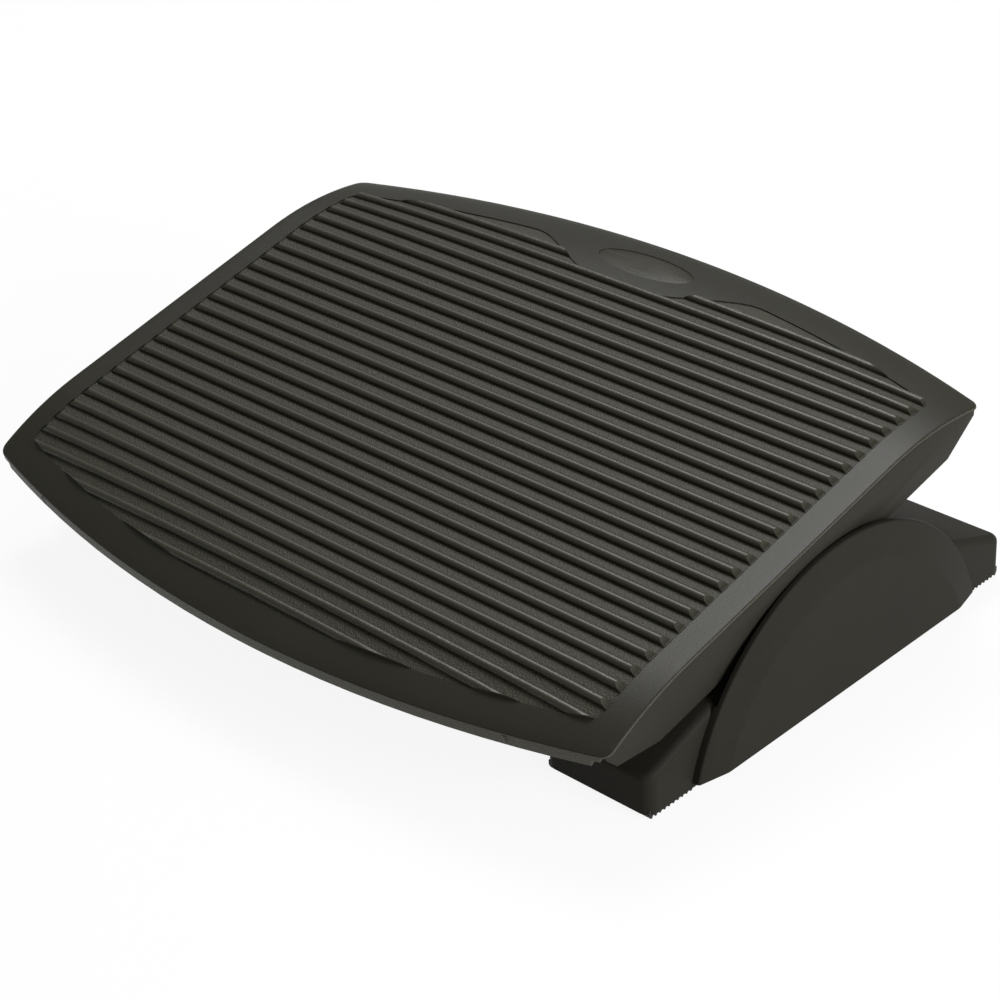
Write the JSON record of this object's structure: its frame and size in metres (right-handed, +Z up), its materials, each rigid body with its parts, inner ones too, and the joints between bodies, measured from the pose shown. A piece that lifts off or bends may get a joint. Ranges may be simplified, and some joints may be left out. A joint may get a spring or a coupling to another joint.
{
  "type": "footrest",
  "caption": "Tilting under-desk footrest: wide ribbed plastic tread deck with rolled front and rear edges, pivoting between half-round side covers on low floor bearers with rubber feet.",
  "frame": {"origin": "on the floor, under the middle of the whole object's box", "axes": "+X is the long way of the deck, to the right for someone seated; +Y points to the rear, away from the sitter; +Z is up; the feet rest on Z = 0"},
  "size_m": [0.462, 0.3475, 0.1287],
  "materials": {
    "deck_plastic": "fine moulded grain, satin rib tops",
    "badge_plastic": "smooth satin",
    "frame_plastic": "fine moulded grain",
    "cover_plastic": "fine moulded grain",
    "bush_plastic": "smooth",
    "washer_fibre": "pressed fibre",
    "screw_steel": "zinc plated",
    "pivot_steel": "zinc plated, turned",
    "tube_steel": "satin black powder coat",
    "foot_rubber": "moulded ribs"
  },
  "bodies": {
    "base": {"base_bearer_left": "frame_plastic", "base_bearer_right": "frame_plastic", "side_cover_left": "cover_plastic", "side_cover_right": "cover_plastic", "cross_tube_front": "tube_steel", "cross_tube_rear": "tube_steel", "pivot_pin_left": "pivot_steel", "pivot_pin_right": "pivot_steel", "friction_washer_left": "washer_fibre", "friction_washer_right": "washer_fibre", "spring_washer_left": "pivot_steel", "spring_washer_right": "pivot_steel", "lock_nut_left": "pivot_steel", "lock_nut_right": "pivot_steel", "cover_screws": "screw_steel", "tube_screws": "screw_steel", "foot_front_left": "foot_rubber", "foot_front_right": "foot_rubber", "foot_rear_left": "foot_rubber", "foot_rear_right": "foot_rubber"},
    "platform": {"platform_top": "deck_plastic", "badge_inlay": "badge_plastic", "side_rail_left": "frame_plastic", "side_rail_right": "frame_plastic", "rail_screws": "screw_steel", "pivot_bush_left": "bush_plastic", "pivot_bush_right": "bush_plastic"}
  },
  "joints": [
    {"name": "platform_tilt", "type": "hinge", "parent": "base", "child": "platform", "pos_m": [0, 0.0304, 0.075], "axis": [1, 0, 0], "range_deg": [-28, 2]}
  ]
}
